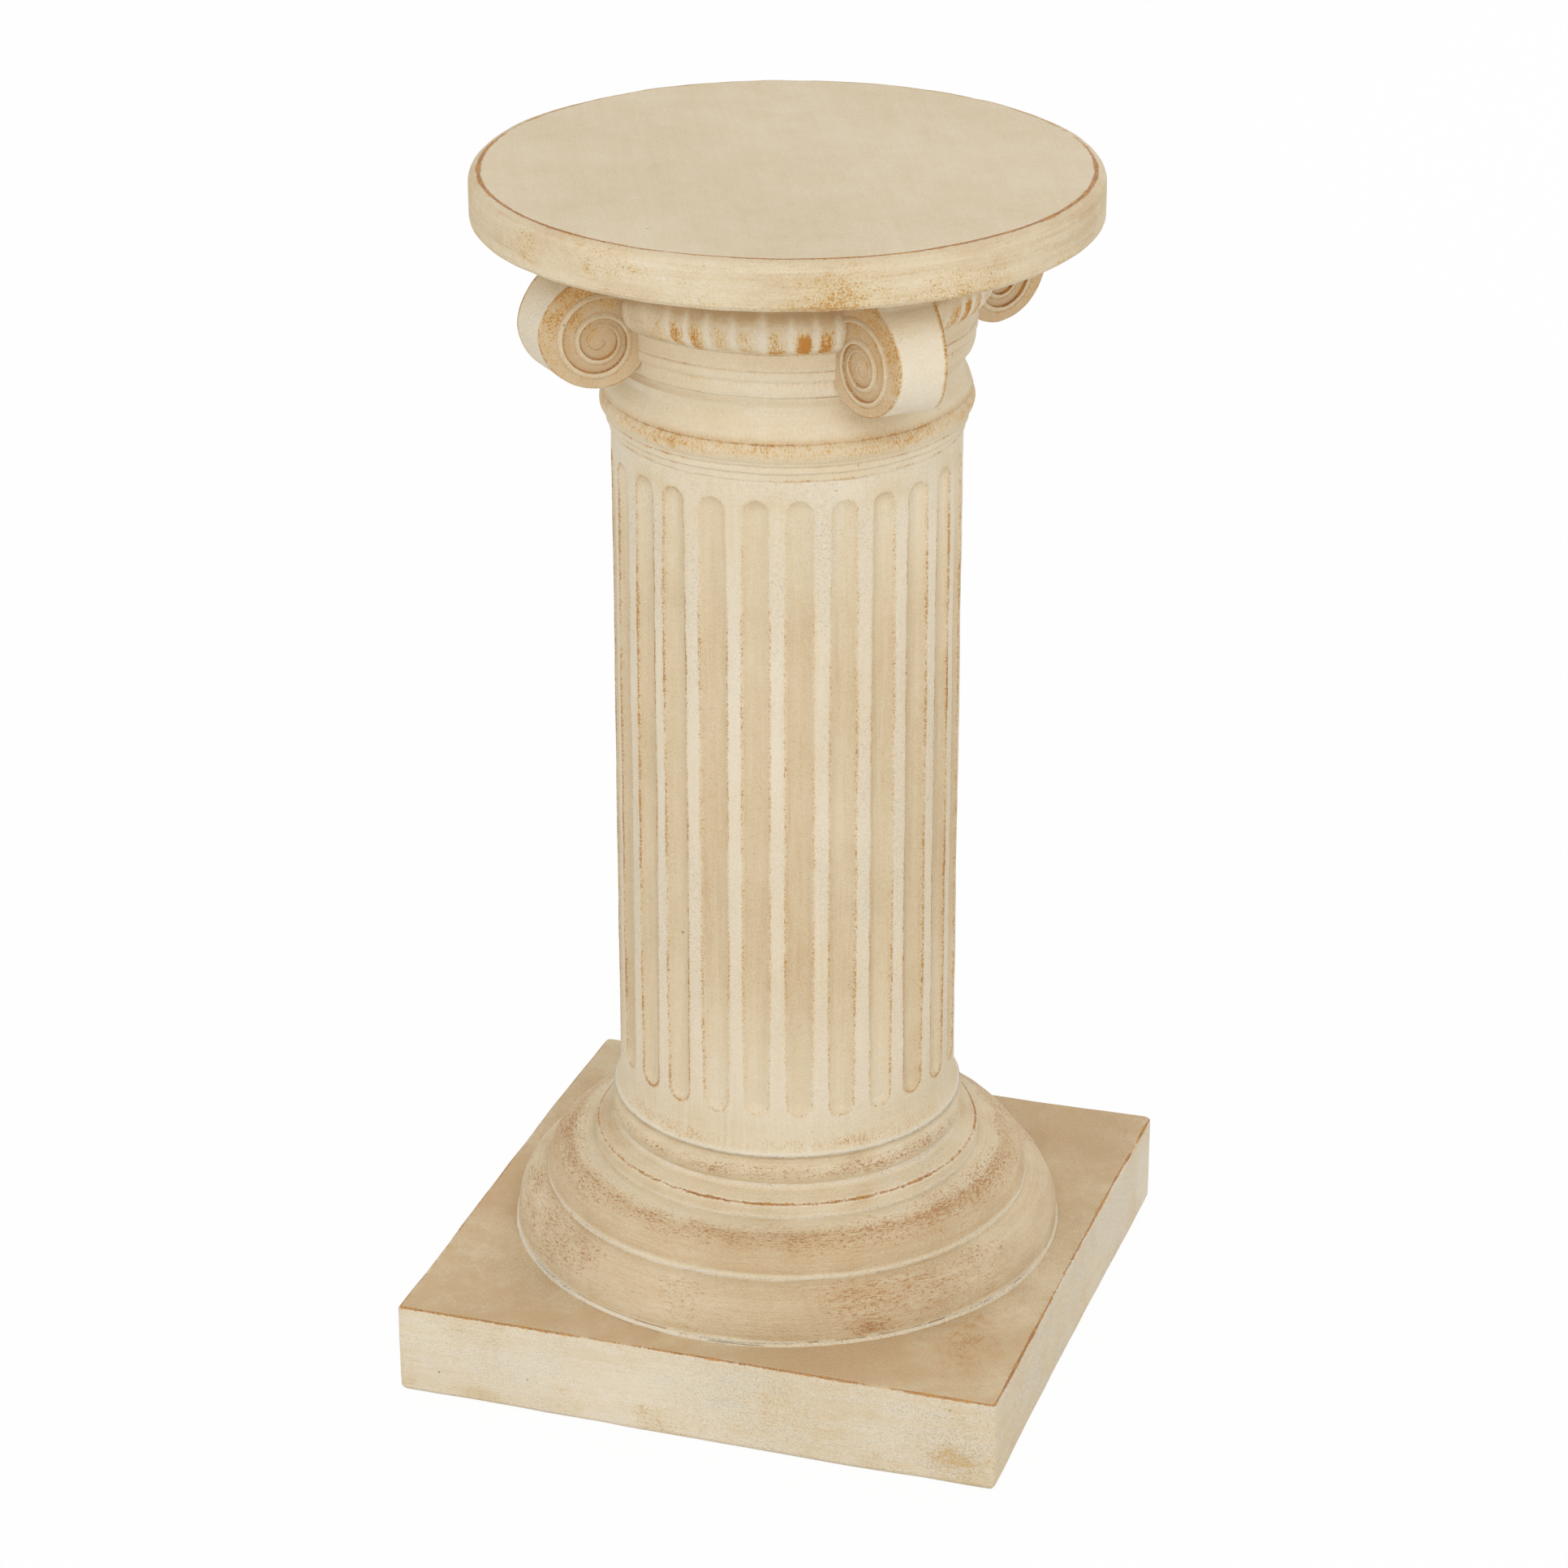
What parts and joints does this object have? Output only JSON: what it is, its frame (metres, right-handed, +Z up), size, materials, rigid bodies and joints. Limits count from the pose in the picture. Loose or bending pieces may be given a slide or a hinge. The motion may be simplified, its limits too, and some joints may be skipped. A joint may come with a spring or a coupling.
{
  "type": "pedestal plant stand",
  "caption": "Short Ionic column pedestal with a square plinth, fluted shaft, corner volutes and a round flat slab for a plant or ornament.",
  "frame": {"origin": "on the floor, at the centre of the plinth", "axes": "+Z up along the column; -Y and +X are the two plinth faces seen in the picture"},
  "size_m": [0.312, 0.312, 0.61],
  "materials": {
    "plinth_casting": "matt antique cream wash over an ochre undercoat, rubbed through at the edges",
    "base_casting": "matt antique cream wash, rubbed to ochre and rose on the rolls",
    "shaft_casting": "matt antique cream wash, darker in the flutes",
    "capital_casting": "matt antique cream wash",
    "echinus_casting": "matt antique cream wash, rubbed to orange ochre on the ribs",
    "volute_casting": "matt antique cream wash, tan in the spiral channels",
    "slab_casting": "matt antique cream wash, brushed, rubbed through at the rim",
    "board_plywood": "raw birch plywood",
    "block_wood": "sawn pine",
    "zinc_steel": "dull zinc plate",
    "bar_steel": "dark mill steel",
    "felt": "pressed brown felt"
  },
  "bodies": {
    "root": {"plinth": "plinth_casting", "corner_blocks": "block_wood", "lower_torus": "base_casting", "upper_torus": "base_casting", "base_collar": "base_casting", "fluted_shaft": "shaft_casting", "neck_collar": "capital_casting", "capital_bell": "capital_casting", "echinus_front": "echinus_casting", "echinus_right": "echinus_casting", "echinus_back": "echinus_casting", "echinus_left": "echinus_casting", "volute_front_right": "volute_casting", "volute_back_right": "volute_casting", "volute_back_left": "volute_casting", "volute_front_left": "volute_casting", "abacus_plate": "capital_casting", "top_slab": "slab_casting", "slab_board": "board_plywood", "board_screws": "zinc_steel", "tee_nut": "zinc_steel", "tie_rod": "zinc_steel", "spreader_bar": "bar_steel", "washer": "zinc_steel", "hex_nut": "zinc_steel", "foot_pads": "felt"}
  },
  "joints": []
}
